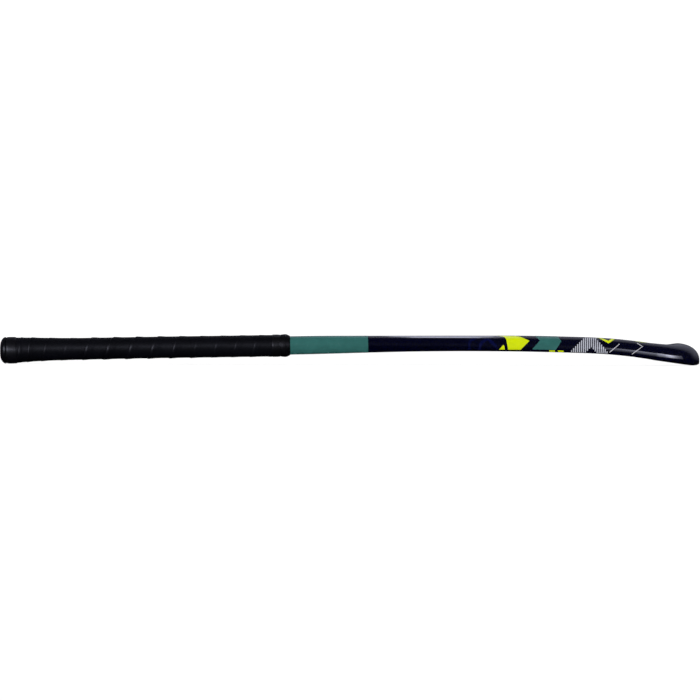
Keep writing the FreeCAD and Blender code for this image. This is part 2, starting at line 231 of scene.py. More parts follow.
def even_ring(station, depth, count):
    """A handle section's points, evenly spaced round it."""
    flat = outline(station, depth)
    loop = np.vstack([flat, flat[:1]])
    length = np.concatenate([[0], np.cumsum(np.linalg.norm(np.diff(loop, axis=0), axis=1))])
    wanted = np.linspace(0, length[-1], count + 1)[:-1]
    spaced = np.stack([np.interp(wanted, length, loop[:, i]) for i in (0, 1)], axis=1)
    return ring(station, depth, flat=spaced)


# ---------------------------------------------------------------------------------------------
# Meshes
# ---------------------------------------------------------------------------------------------
MERGE = 1e-6             # metres within which doubled points are merged


def add_mesh(name, points, faces, uvs):
    """A smooth-shaded mesh object. uvs holds (along, around) in metres for each point."""
    mesh = bpy.data.meshes.new(name)
    mesh.from_pydata([tuple(p) for p in points], [], faces)
    surface = mesh.attributes.new("surface", "FLOAT_VECTOR", "POINT")
    flat = np.zeros((len(points), 3), np.float32)
    flat[:, :2] = uvs
    surface.data.foreach_set("vector", flat.ravel())
    mesh.shade_smooth()
    obj = bpy.data.objects.new(name, mesh)
    bpy.context.scene.collection.objects.link(obj)
    return obj


def closed_mesh(name, points, faces, uvs):
    """A mesh object with its doubled points merged and every face turned outwards."""
    obj = add_mesh(name, points, faces, uvs)
    bm = bmesh.new()
    bm.from_mesh(obj.data)
    bmesh.ops.remove_doubles(bm, verts=bm.verts, dist=MERGE)
    bmesh.ops.recalc_face_normals(bm, faces=bm.faces)
    bm.to_mesh(obj.data)
    bm.free()
    obj.data.shade_smooth()
    return obj


def band_faces(low, high, count):
    """The faces between two rows of points that go round, named by the rows' first points."""
    return [(low + j, low + (j + 1) % count, high + (j + 1) % count, high + j) for j in range(count)]


def fan_faces(start, centre, count):
    """The faces between a row of points that goes round and one point in its middle."""
    return [(start + j, start + (j + 1) % count, centre) for j in range(count)]


def skinned(name, rings, stations, closed=False):
    """A tube through rings of equal count. Its ends are capped, or joined if it is closed."""
    count = len(rings[0])
    points = np.vstack(rings)
    uvs = []
    for loop, station in zip(rings, stations):
        steps = np.linalg.norm(np.diff(np.vstack([loop, loop[:1]]), axis=0), axis=1)
        around = np.concatenate([[0], np.cumsum(steps)])[:-1]
        uvs += [(station * MM, a) for a in around]
    faces = []
    for i in range(len(rings) if closed else len(rings) - 1):
        faces += band_faces(i * count, (i + 1) % len(rings) * count, count)
    if not closed:
        last = (len(rings) - 1) * count
        for start in (0, last):
            centre = len(points)
            points = np.vstack([points, points[start:start + count].mean(axis=0)])
            uvs.append((stations[0 if start == 0 else -1] * MM, 0))
            faces += fan_faces(start, centre, count)
    return closed_mesh(name, points, faces, uvs)


def stations_between(start, end, step):
    return list(np.linspace(start, end, max(2, int(math.ceil((end - start) / step)) + 1)))


def sleeve(name, profile, inner_depth, step):
    """A layer round the handle. profile is (station, depth) pairs for its outside."""
    stations = []
    for (a, _), (b, _) in zip(profile, profile[1:]):
        stations += stations_between(a, b, step)[:-1]
    stations.append(profile[-1][0])
    depths = [np.interp(s, [p[0] for p in profile], [p[1] for p in profile]) for s in stations]
    rings = [ring(s, d) for s, d in zip(stations, depths)]
    rings += [ring(s, inner_depth) for s in reversed(stations)]
    return skinned(name, rings, stations + stations[::-1], closed=True)


def finish_piece(obj, material, node):
    """Gives a piece its material, hides the CAD node that it stands in for and hangs it under the stick's
    body.
    """
    obj.data.materials.clear()
    obj.data.materials.append(material)
    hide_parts(node)
    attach(obj, "root")


def make_skin():
    """The whole lacquered stick, from inside the butt cap to the rounded toe."""
    stations = stations_between(SHAFT_START, HEAD_START, 4.0)
    stations += stations_between(HEAD_START, HOOK_END, 2.2)[1:]
    rings = [ring(s, 0) for s in stations]
    for fraction in np.sin(np.linspace(0, math.pi / 2, 15))[1:-1]:
        rings.append(ring(HOOK_END + TOE_LENGTH * fraction, 0, math.sqrt(1 - fraction ** 2)))
        stations.append(HOOK_END + TOE_LENGTH * fraction)
    return skinned("stick_skin", rings, stations)


# The strip's turns: the station of some overlaps, halfway up the heel side.
TURNS = [(-1, 26.5), (0, 38.8), (3, 114.5), (6, 202.0), (9, 285.5), (12, 362.0)]
TURN_PITCH = 25.5        # beyond the first and last of those
FIRST_TURN, LAST_TURN = -2, 15
GRIP_COLUMNS = 96        # points round the handle
HEEL_COLUMN = int(GRIP_COLUMNS * 0.75)
GRIP_TUCK = 3            # how far the strip reaches under the band and the tape
GRIP_SPACING = 1.5       # between the sections that the strip is laid on
GRIP_GAP = 0.05          # between the strip and the cushion
GRIP_EASE_IN, GRIP_EASE_OUT = 8, 6   # over which the overlaps flatten towards the two ends
GIRTH = 0.1              # metres round the handle, near enough for a texture
OVERLAP_RISE = 0.68
# How plainly each turn's overlap stands up: the strip was wound tighter in places.
OVERLAP_SHARE = [
    (-2, 0.6), (0.5, 0.6), (1.5, 0.3), (2.6, 0.4), (3.2, 1.0), (6.8, 1.0), (7.6, 0.4), (11, 0.5), (15, 0.4),
]
EDGE_PHASE = 0.078       # share of a turn over which the strip's edge steps up
OVERLAP_PHASE = 0.2      # share of a turn where the strip lies on the turn before
SETTLED_PHASE = 0.42
TUCK_PHASE = 0.93
OVERLAP_FALL = 0.35      # share of the rise that is lost across the overlap
HOLLOW, TUCK = 0.05, 0.16            # how far the strip sinks after the overlap and under the next turn
# Rows of points in one turn: (from, to, number), closest together at the strip's edge.
STRIP_ROWS = ((0, 0.1, 9), (0.1, SETTLED_PHASE, 10), (SETTLED_PHASE, 0.9, 8), (0.9, 1, 6))


def turn_station(turn):
    if turn < TURNS[0][0]:
        return TURNS[0][1] + (turn - TURNS[0][0]) * TURN_PITCH
    if turn > TURNS[-1][0]:
        return TURNS[-1][1] + (turn - TURNS[-1][0]) * TURN_PITCH
    return exact(TURNS, turn)


def strip_rise(phase):
    """Height of the wound strip across one turn: a step up at its edge, a fall, then a tuck."""
    if phase < EDGE_PHASE:
        return OVERLAP_RISE * math.sin(phase / EDGE_PHASE * math.pi / 2)
    if phase < OVERLAP_PHASE:
        return OVERLAP_RISE * (1 - OVERLAP_FALL * (phase - EDGE_PHASE) / (OVERLAP_PHASE - EDGE_PHASE))
    if phase < SETTLED_PHASE:
        t = (phase - OVERLAP_PHASE) / (SETTLED_PHASE - OVERLAP_PHASE)
        return OVERLAP_RISE * (1 - OVERLAP_FALL) * (1 - t * t * (3 - 2 * t))
    if phase < TUCK_PHASE:
        return -HOLLOW * math.sin((phase - SETTLED_PHASE) / (TUCK_PHASE - SETTLED_PHASE) * math.pi)
    return -TUCK * math.sin((phase - TUCK_PHASE) / (1 - TUCK_PHASE) * math.pi / 2)


def make_grip():
    """The strip wound round the handle: a helical outside on a plain inside."""
    start, end = GRIP_START - GRIP_TUCK, GRIP_END + GRIP_TUCK
    table_stations = np.arange(start - 1, end + 3, GRIP_SPACING)
    table = np.array([even_ring(s, -CUSHION - WRAP, GRIP_COLUMNS) for s in table_stations])
    phases = np.concatenate([np.linspace(a, b, rows + 1)[:-1] for a, b, rows in STRIP_ROWS])
    points, uvs = [], []
    for turn in range(FIRST_TURN, LAST_TURN):
        for phase in phases:
            rise = strip_rise(phase) * exact(OVERLAP_SHARE, turn + phase)
            for j in range(GRIP_COLUMNS):
                station = turn_station(turn + phase - (j - HEEL_COLUMN) / GRIP_COLUMNS)
                clipped = min(max(station, start), end)
                i, t = divmod((clipped - table_stations[0]) / GRIP_SPACING, 1)
                base = table[int(i)] * (1 - t) + table[int(i) + 1] * t
                outwards = base[j] - base.mean(axis=0)
                outwards /= np.linalg.norm(outwards)
                ease = min(1.0, (clipped - start) / GRIP_EASE_IN, (end - clipped) / GRIP_EASE_OUT)
                points.append(base[j] + outwards * rise * ease * MM)
                uvs.append((clipped * MM, j / GRIP_COLUMNS * GIRTH))
    rows = len(points) // GRIP_COLUMNS
    faces = []
    for k in range(rows - 1):
        for j in range(GRIP_COLUMNS):
            low, high, n = k, k + 1, j + 1
            if n == GRIP_COLUMNS:
                n, low, high = 0, k - len(phases), k + 1 - len(phases)
            if low >= 0:
                columns = [(k, j), (low, n), (high, n), (k + 1, j)]
                faces.append(tuple(row * GRIP_COLUMNS + column for row, column in columns))
    inside = stations_between(start, end, 12.0)[::-1]
    for station in inside:
        points += list(even_ring(station, -CUSHION - GRIP_GAP, GRIP_COLUMNS))
        uvs += [(station * MM, j / GRIP_COLUMNS * GIRTH) for j in range(GRIP_COLUMNS)]
    order = [rows - 1] + [rows + i for i in range(len(inside))] + [0]
    for low, high in zip(order, order[1:]):
        faces += band_faces(low * GRIP_COLUMNS, high * GRIP_COLUMNS, GRIP_COLUMNS)
    return closed_mesh("grip_strip", points, faces, uvs)


# ---------------------------------------------------------------------------------------------
# Artwork: outlines of (distance from the butt end, fraction of the stick's height), laid on the
# lacquer of both sides. Fractions over 1 run across the back, so that the two sides join there.
# ---------------------------------------------------------------------------------------------
OVER_BACK = 1.2
LIME_BLOCK = [
    (653.5, OVER_BACK), (658.5, 0.985), (666.5, 0.93), (669.2, 0.78), (670.4, 0.5), (671.7, 0.115),
    (688.2, 0.115), (699.9, 0.68), (688.3, 0.92), (681.0, 0.985), (676.0, OVER_BACK),
]
LIME_CORNER = [(659.9, 0.115), (665.4, 0.42), (666.9, 0.33), (667.4, 0.115)]
TEAL_CHEVRON = [
    (703.4, 0.15), (713.6, 0.71), (707.4, 0.98), (701.5, OVER_BACK), (731.0, OVER_BACK),
    (737.4, 0.98), (741.9, 0.71), (734.9, 0.15),
]
LIME_DASHES = [
    [(726.4, 0.02), (725.8, 0.12), (733.4, 0.12), (733.9, 0.02)],
    [(738.0, 0.02), (737.2, 0.12), (744.6, 0.12), (745.4, 0.02)],
]
LIME_VEE = [
    (788.0, 0.985), (791.0, 0.97), (803.6, 0.68), (811.4, 0.97), (812.2, 0.985), (807.6, 0.985),
    (807.0, 0.97), (803.3, 0.84), (795.0, 0.97), (793.6, 0.985),
]
LIME_FAR_VEE = [(834.0, OVER_BACK), (837.0, 0.985), (844.5, 0.96), (852.0, 0.985), (855.0, OVER_BACK)]
WHITE_SLASH = [(805.0, 0.14), (816.6, 0.67), (816.2, 0.7), (818.2, 0.69), (806.5, 0.14)]
WHITE_ARROW = [
    (834.4, 0.16), (846.8, 0.705), (839.6, 0.855), (840.2, 0.885), (848.2, 0.72), (835.9, 0.16),
]
BLUE_ARCHES = [
    [
        (619.0, 0.07), (618.7, 0.45), (619.8, 0.64), (622.3, 0.79), (626.6, 0.91), (632.5, 0.965),
        (633.2, 0.86), (627.8, 0.745), (624.6, 0.65), (622.8, 0.55), (621.8, 0.42), (622.0, 0.07),
    ],
    [
        (632.2, 0.07), (633.4, 0.46), (635.8, 0.62), (639.4, 0.76), (644.3, 0.88), (644.3, 0.7),
        (641.2, 0.58), (638.4, 0.48), (636.8, 0.38), (635.2, 0.07),
    ],
    [
        (644.5, 0.88), (648.4, 0.76), (652.0, 0.62), (655.8, 0.46), (657.8, 0.3), (658.4, 0.12),
        (655.5, 0.12), (654.8, 0.22), (652.4, 0.36), (649.4, 0.48), (646.5, 0.61), (644.5, 0.7),
    ],
]
HATCH_START, HATCH_END = 753.0, 805.4
HATCH_PEAK = (773.0, 786.0)
HATCH_NOTCH = (773.4, 781.1, 789.7)
HATCH_NOTCH_HEIGHT, HATCH_LOW = 0.41, 0.04
STRIPE_PITCH, STRIPE_WIDTH = 2.6, 1.4
# Prints are cut into small faces, so that they follow the stick: every so many millimetres along it,
# and up it in even steps of the distance from the ridge, with finer steps over the rounding below.
CUT_ALONG, CUT_UP = 3.0, 0.06
LOW_CUTS_TOP, LOW_CUT = 0.21, 0.0125
PRINT_MERGE = 2e-5       # metres
FILM_REACH = 1.3         # thicknesses that a film goes down, so that it meets the lacquer
RIM_ANGLE = math.radians(35)


def hatch_stripes():
    """Upright bars that fill an inverted V."""
    bars = []
    middle = HATCH_START + STRIPE_PITCH
    while middle < HATCH_END - STRIPE_WIDTH:
        high = np.interp(middle, [HATCH_START, *HATCH_PEAK, HATCH_END], [0, 1, 1, 0])
        notch = np.interp(middle, HATCH_NOTCH, [0, 1, 0]) * HATCH_NOTCH_HEIGHT
        low = max(HATCH_LOW, notch)
        top = OVER_BACK if high > 0.98 else HATCH_LOW + high * (1 - HATCH_LOW)
        start, end = middle - STRIPE_WIDTH / 2, middle + STRIPE_WIDTH / 2
        bars.append([(start, low), (start, top), (end, top), (end, low)])
        middle += STRIPE_PITCH
    return bars


def surface_point(distance, fraction, mirrored, depth):
    """The lacquer's point at that height on the heel side, or on the toe side if mirrored."""
    flat = outline(distance, depth)
    crown = FLAT_STEPS + ROUND_STEPS + BACK_STEPS
    heel = np.vstack([flat[crown:], flat[:1]])[::-1]
    toe = flat[FLAT_STEPS:crown + 1]
    side = toe if mirrored else heel
    top, low = flat[crown][1], flat[0][1]
    # Close to the back's ridge the height hardly changes, so the square root of what is left is read.
    left = np.sqrt(np.clip((top - side[:, 1]) / (top - low), 0, 1))
    wanted = math.sqrt(max(1 - fraction, 0))
    across = np.interp(wanted, left[::-1], side[::-1, 0])
    height = np.interp(wanted, left[::-1], side[::-1, 1])
    return ring(distance, depth, flat=np.array([[across, height]]))[0]


def flat_pieces(outline_points):
    """An outline filled with small faces in (distance, fraction), cut off at the back's ridge."""
    bm = bmesh.new()
    bm.faces.new([bm.verts.new((x, y, 0)) for x, y in outline_points])
    bmesh.ops.triangulate(bm, faces=bm.faces)
    low, high = min(p[0] for p in outline_points), max(p[0] for p in outline_points)
    cuts = [((x, 0, 0), (1, 0, 0)) for x in np.arange(low + CUT_ALONG, high, CUT_ALONG)]
    heights = [1 - w * w for w in np.arange(0, 0.88, CUT_UP)] + list(np.arange(LOW_CUTS_TOP, 0, -LOW_CUT))
    cuts += [((0, y, 0), (0, 1, 0)) for y in heights[1:]]
    for where, normal in cuts:
        geometry = bm.verts[:] + bm.edges[:] + bm.faces[:]
        bmesh.ops.bisect_plane(bm, geom=geometry, plane_co=where, plane_no=normal)
    geometry = bm.verts[:] + bm.edges[:] + bm.faces[:]
    bmesh.ops.bisect_plane(bm, geom=geometry, plane_co=(0, 1, 0), plane_no=(0, 1, 0), clear_outer=True)
    bm.verts.index_update()
    points = [tuple(v.co[:2]) for v in bm.verts]
    faces = [tuple(v.index for v in f.verts) for f in bm.faces]
    bm.free()
    return points, faces


def crisp(obj):
    """Smooth shading that keeps a film's rim sharp."""
    obj.data.shade_smooth()
    obj.data.set_sharp_from_angle(angle=RIM_ANGLE)
    return obj


def make_print(name, outlines, height):
    """Thin films that lie on both sides of the stick, each with an outside, an inside and edges."""
    points, faces, uvs = [], [], []
    for outline_points in outlines:
        flat, cells = flat_pieces(outline_points)
        for mirrored in (False, True):
            base = len(points)
            points += [surface_point(x, y, mirrored, -height) for x, y in flat]
            uvs += [(x * MM, y * 0.02) for x, y in flat]
            faces += [tuple(base + i for i in (cell[::-1] if mirrored else cell)) for cell in cells]
    obj = add_mesh(name, points, faces, uvs)
    bm = bmesh.new()
    bm.from_mesh(obj.data)
    bmesh.ops.remove_doubles(bm, verts=bm.verts, dist=PRINT_MERGE)
    bmesh.ops.recalc_face_normals(bm, faces=bm.faces)
    bm.normal_update()
    for face in bm.faces:
        middle = face.calc_center_median()
        station = (middle.x - BUTT_X) / MM
        axis = place([(station, 0, face_height(station) + 10)])[0]   # about halfway up the stick
        if (middle - Vector(axis)).dot(face.normal) < 0:
            face.normal_flip()
    bm.to_mesh(obj.data)
    bm.free()
    thick = obj.modifiers.new("film", "SOLIDIFY")
    thick.thickness = FILM * MM * FILM_REACH
    thick.offset = -1
    applied = bpy.data.meshes.new_from_object(obj.evaluated_get(bpy.context.evaluated_depsgraph_get()))
    obj.modifiers.clear()
    obj.data = applied
    return crisp(obj)


def make_teal_band():
    """The painted band between the grip's collar and the navy, with a sharp straight border."""
    stations = stations_between(COLLAR_END - 6, TEAL_END, 3.0)
    rings = [ring(s, -FILM) for s in stations] + [ring(s, SUNK) for s in reversed(stations)]
    return crisp(skinned("teal_band", rings, stations + stations[::-1], closed=True))


def make_panel():
    """The thin gripping compound on the hook's face, with a softly rounded edge."""
    stations = stations_between(PANEL_START, HOOK_END, 2.5)
    rows = []
    for station in stations:
        half = along(WIDTH, station) / 2
        reach_out = half - along(OUTER_ROUND, station) - PANEL_MARGIN
        reach_in = half - along(INNER_ROUND, station) - PANEL_MARGIN
        rows.append((station, reach_out, reach_in))
    last = rows[-1]
    for t in (0.35, 0.6, 0.8, 0.93):
        shrink = math.sqrt(1 - t * t)
        rows.append((HOOK_END + TOE_LENGTH * PANEL_REACH * t, last[1] * shrink, last[2] * shrink))
    # Across the panel: edge on the recess's wall, rounded shoulder, flat, shoulder, edge.
    profile = [(-1.0, 0.3), (-1.0, -0.03), (-0.985, -0.07)]
    profile += [(x, -0.09) for x in np.linspace(-0.96, 0.96, 13)]
    profile += [(0.985, -0.07), (1.0, -0.03), (1.0, 0.3)]
    points, uvs = [], []
    for station, reach_out, reach_in in rows:
        middle, half = (reach_in - reach_out) / 2, (reach_in + reach_out) / 2
        flat = np.array([(middle + half * x, height) for x, height in profile])
        points += list(ring(station, 0, flat=flat))
        uvs += [(station * MM, (middle + half * x) * MM) for x, _ in profile]
    count = len(profile)
    faces = []
    for i in range(len(rows) - 1):
        faces += band_faces(i * count, (i + 1) * count, count)
    faces.append(tuple(range(count)))
    faces.append(tuple(range((len(rows) - 1) * count, len(rows) * count)))
    return closed_mesh("face_compound", points, faces, uvs)


def make_cap():
    """The moulded end cap: a domed end with a rounded shoulder, a fine moulded line and a skirt."""
    profile = [
        (0.0, 7.5), (0.25, 6.0), (0.6, 4.4), (1.1, 2.9), (1.7, 1.5), (2.4, 0.4), (3.2, -0.55),
        (4.1, -1.5), (5.0, -2.15), (5.3, -2.1), (5.6, -2.45), (6.6, -2.8), (7.9, -2.85), (8.2, -2.5),
    ]
    rings = [ring(s, d) for s, d in profile] + [ring(CAP_END, SUNK), ring(SHAFT_START + 0.5, 0.3)]
    stations = [s for s, _ in profile] + [CAP_END, SHAFT_START]
    return skinned("end_cap", rings, stations)


def make_badge():
    """A plain disc in the cap's end, with raised rings and no mark. The profile is (radius, depth)."""
    middle = face_height(0) + along(THICKNESS, 0) / 2
    profile = [
        (0.0, 0.1), (2.0, 0.1), (5.2, 0.12), (5.5, -0.1), (6.1, -0.1), (6.4, 0.12),
        (8.0, 0.02), (8.7, 0.08), (9.0, 0.25), (9.0, 0.6),
    ]
    turns = 96
    points, faces, uvs = [], [], []
    for radius, reach in profile[1:]:
        for j in range(turns):
            angle = 2 * math.pi * j / turns
            points.append(place([(reach, radius * math.sin(angle), middle + radius * math.cos(angle))])[0])
            uvs.append((radius * MM, angle * 0.01))
    for i in range(len(profile) - 2):
        faces += band_faces(i * turns, (i + 1) * turns, turns)
    for i, reach in ((0, profile[0][1]), (len(profile) - 2, profile[-1][1])):
        points.append(place([(reach, 0, middle)])[0])
        uvs.append((0, 0))
        faces += fan_faces(i * turns, len(points) - 1, turns)
    return closed_mesh("cap_badge", points, faces, uvs)


def make_cushion():
    """The foam strip under the grip, seen only in the groove beside the end cap."""
    profile = [
        (CAP_END - 0.6, -1.9), (BAND_START + 0.6, -1.9), (BAND_START + 0.8, -CUSHION), (TAPE_END, -CUSHION),
    ]
    return sleeve("under_grip", profile, SUNK, 4.0)


def make_butt_band():
    """The tape that starts the grip: steep edges and a slightly swollen middle."""
    profile = [
        (BAND_START - 0.9, -1.2), (BAND_START - 0.8, -2.5), (BAND_START - 0.4, -2.8), (12, -2.95),
        (14, -3.0), (18, -3.05), (21.6, -2.98), (22.2, -2.85), (22.5, -2.5), (22.6, -1.6),
    ]
    return sleeve("butt_tape", profile, -CUSHION, 0.8)


def make_finishing_tape():
    """The tape that closes the grip, drawn in towards the collar."""
    profile = [
        (GRIP_END - 0.6, -1.5), (GRIP_END - 0.5, -2.5), (GRIP_END, -2.75), (364, -2.8), (367, -2.75),
        (369.5, -2.6), (370.6, -2.35), (TAPE_END + 0.2, -1.6),
    ]
    return sleeve("closing_tape", profile, -CUSHION, 0.8)


def make_collar():
    """The rounded rubber ring, steep towards the tape and gentle towards the shaft."""
    profile = [
        (370.9, -0.5), (370.95, -2.2), (371.4, -2.42), (372.6, -2.62), (374.5, -2.9), (377, -3.1),
        (379.0, -2.9), (380.8, -2.3), (382.4, -1.4), (383.5, -0.75), (COLLAR_END, -0.25), (384.1, 0.0),
    ]
    return sleeve("rubber_collar", profile, SUNK, 0.7)


# ---------------------------------------------------------------------------------------------
# Materials
# ---------------------------------------------------------------------------------------------
class Finish:
    """A node material with short ways to add procedural detail to its shader."""

    def __init__(self, name, **constants):
        self.material = bpy.data.materials.new(name)
        self.material.use_nodes = True
        self.tree = self.material.node_tree
        self.shader = self.tree.nodes["Principled BSDF"]
        for socket, value in constants.items():
            self.shader.inputs[socket.replace("_", " ")].default_value = value
        self.height = None

    def node(self, kind, **settings):
        node = self.tree.nodes.new(kind)
        for key, value in settings.items():
            setattr(node, key, value)
        return node

    def link(self, output, socket):
        self.tree.links.new(output, socket)

    def coordinates(self, source="Object", stretch=(1, 1, 1)):
        mapping = self.node("ShaderNodeMapping")
        mapping.inputs["Scale"].default_value = stretch
        if source == "surface":
            where = self.node("ShaderNodeAttribute", attribute_name="surface").outputs["Vector"]
        else:
            where = self.node("ShaderNodeTexCoord").outputs[source]
        self.link(where, mapping.inputs[0])
        return mapping.outputs[0]

    def noise(self, scale, detail=3.0, source="Object", stretch=(1, 1, 1)):
        noise = self.node("ShaderNodeTexNoise")
        noise.inputs["Scale"].default_value = scale
        noise.inputs["Detail"].default_value = detail
        self.link(self.coordinates(source, stretch), noise.inputs["Vector"])
        return noise.outputs["Fac"]

    def cells(self, scale):
        cells = self.node("ShaderNodeTexVoronoi")
        cells.inputs["Scale"].default_value = scale
        self.link(self.coordinates(), cells.inputs["Vector"])
        return cells.outputs["Distance"]

    def remap(self, value, low, high, to_low, to_high):
        remap = self.node("ShaderNodeMapRange")
        limits = {"From Min": low, "From Max": high, "To Min": to_low, "To Max": to_high}
        for socket, number in limits.items():
            remap.inputs[socket].default_value = number
        self.link(value, remap.inputs["Value"])
        return remap.outputs["Result"]

    def math(self, operation, a, b):
        node = self.node("ShaderNodeMath", operation=operation)
        for socket, value in zip(node.inputs, (a, b)):
            if isinstance(value, (int, float)):
                socket.default_value = value
            else:
                self.link(value, socket)
        return node.outputs[0]

    def blend_colours(self, factor, first, second):
        mix = self.node("ShaderNodeMix", data_type="RGBA")
        sockets = [s for s in mix.inputs if s.type == "RGBA"]
        for socket, colour in zip(sockets, (first, second)):
            if isinstance(colour, tuple):
                socket.default_value = (*colour, 1)
            else:
                self.link(colour, socket)
        self.link(factor, mix.inputs[0])
        return [s for s in mix.outputs if s.type == "RGBA"][0]

    def colour(self, output):
        self.link(output, self.shader.inputs["Base Color"])

    def roughness(self, output):
        self.link(output, self.shader.inputs["Roughness"])

    def bump(self, height, distance, strength=1.0, coat=False):
        bump = self.node("ShaderNodeBump")
        bump.inputs["Strength"].default_value = strength
        bump.inputs["Distance"].default_value = distance
        self.link(height, bump.inputs["Height"])
        if self.height is not None:
            self.link(self.height, bump.inputs["Normal"])
        self.height = bump.outputs["Normal"]
        self.link(self.height, self.shader.inputs["Normal"])
        if coat:
            self.link(self.height, self.shader.inputs["Coat Normal"])


# The clear lacquer over all the paint. Its index is higher than a real one's, for a stronger sheen.
LACQUER = {"Coat_Weight": 1.0, "Coat_Roughness": 0.07, "Coat_IOR": 1.85, "Specular_IOR_Level": 0.1}


def lacquered(name, colour, darker):
    """Paint or print under clear gloss lacquer: a little mottled, with a faint orange peel."""
    finish = Finish(name, **LACQUER)
    mottle = finish.remap(finish.noise(90.0, 4.0), 0.35, 0.65, 0.0, 1.0)
    finish.colour(finish.blend_colours(mottle, darker, colour))
    finish.roughness(finish.remap(finish.noise(240.0, 3.0), 0.3, 0.7, 0.18, 0.28))
    finish.bump(finish.noise(420.0, 2.0), 0.00002, 0.35, coat=True)
    return finish.material


def navy_lacquer():
    """Dark navy paint over woven cloth: the weave barely shows through the gloss."""
    finish = Finish("navy_lacquer", **LACQUER)
    across = finish.node("ShaderNodeTexWave", wave_type="BANDS", bands_direction="DIAGONAL")
    across.inputs["Scale"].default_value = 160.0
    finish.link(finish.coordinates("surface"), across.inputs["Vector"])
    weave = finish.remap(across.outputs["Fac"], 0.3, 0.7, 0.0, 1.0)
    cloth = finish.blend_colours(weave, (0.0001, 0.0002, 0.0064), (0.0002, 0.0006, 0.012))
    mottle = finish.remap(finish.noise(26.0, 4.0), 0.35, 0.65, 0.0, 1.0)
    finish.colour(finish.blend_colours(mottle, cloth, (0.0001, 0.0003, 0.0086)))
    finish.roughness(finish.remap(finish.noise(180.0, 3.0), 0.3, 0.7, 0.2, 0.3))
    finish.bump(finish.noise(300.0, 2.0), 0.00002, 0.3, coat=True)
    return finish.material


def grip_material():
    """Black polyurethane grip strip: a fine leathery grain, a soft sheen, rubbed a little lighter."""
    finish = Finish("grip_polyurethane", IOR=1.45, Specular_IOR_Level=0.14)
    rubbed = finish.remap(finish.noise(35.0, 5.0), 0.4, 0.7, 0.0, 1.0)
    finish.colour(finish.blend_colours(rubbed, (0.0009, 0.001, 0.0034), (0.0016, 0.0018, 0.0052)))
    finish.roughness(finish.remap(finish.noise(500.0, 3.0), 0.3, 0.7, 0.38, 0.52))
    finish.bump(finish.cells(1100.0), 0.00006, 0.5)
    finish.bump(finish.noise(2600.0, 3.0), 0.00003, 0.4)
    return finish.material


def rubber(name, colour, lighter, roughness):
    """Moulded rubber or foam, a little dusty."""
    finish = Finish(name, IOR=1.45, Specular_IOR_Level=0.18)
    dust = finish.remap(finish.noise(120.0, 5.0), 0.45, 0.75, 0.0, 1.0)
    finish.colour(finish.blend_colours(dust, colour, lighter))
    finish.roughness(finish.remap(finish.noise(400.0, 3.0), 0.3, 0.7, roughness - 0.06, roughness + 0.08))
    finish.bump(finish.noise(1500.0, 3.0), 0.00003, 0.4)
    return finish.material


def tape_material(name, colour, lighter, roughness):
    """Smooth plastic tape with fine stretch lines along its winding."""
    finish = Finish(name, IOR=1.5, Coat_Weight=0.38, Coat_Roughness=0.34, Specular_IOR_Level=0.1)
    lines = finish.noise(60.0, 4.0, "surface", (28.0, 1.0, 1.0))
    finish.colour(finish.blend_colours(finish.remap(lines, 0.35, 0.65, 0.0, 1.0), colour, lighter))
    finish.roughness(finish.remap(finish.noise(300.0, 3.0), 0.3, 0.7, roughness - 0.05, roughness + 0.08))
    finish.bump(lines, 0.00005, 0.4, coat=True)
    return finish.material


def face_material():
    """Fine-grained compound that grips the ball."""
    finish = Finish("face_compound", IOR=1.45)
    grain = finish.noise(1500.0, 3.0)
    speckle = finish.remap(grain, 0.4, 0.65, 0.0, 1.0)
    finish.colour(finish.blend_colours(speckle, (0.006, 0.007, 0.016), (0.016, 0.018, 0.036)))
    finish.roughness(finish.remap(grain, 0.3, 0.7, 0.55, 0.75))
    finish.bump(finish.cells(900.0), 0.0001, 0.6)
    finish.bump(grain, 0.00006, 0.5)
    return finish.material


def woven(name, light, dark, roughness):
    """A plain weave of fibre tows set in resin."""
    finish = Finish(name, Coat_Weight=0.4, Coat_Roughness=0.2)
    waves = []
    for direction in ("X", "Z"):
        wave = finish.node("ShaderNodeTexWave", wave_type="BANDS", bands_direction=direction)
        wave.inputs["Scale"].default_value = 150.0
        wave.inputs["Distortion"].default_value = 0.6
        finish.link(finish.coordinates(), wave.inputs["Vector"])
        waves.append(wave.outputs["Fac"])
    weave = finish.math("MULTIPLY", *waves)
    finish.colour(finish.blend_colours(finish.remap(weave, 0.1, 0.6, 0.0, 1.0), dark, light))
    finish.roughness(finish.remap(weave, 0.0, 1.0, roughness, roughness + 0.15))
    finish.bump(weave, 0.0002, 0.5)
    return finish.material


def foam(name, colour, darker):
    """Rigid foam with open cells."""
    finish = Finish(name, Roughness=0.9)
    cells = finish.cells(700.0)
    finish.colour(finish.blend_colours(finish.remap(cells, 0.1, 0.6, 0.0, 1.0), darker, colour))
    finish.roughness(finish.remap(finish.noise(300.0), 0.3, 0.7, 0.8, 0.95))
    finish.bump(cells, 0.0004, 0.7)
    return finish.material


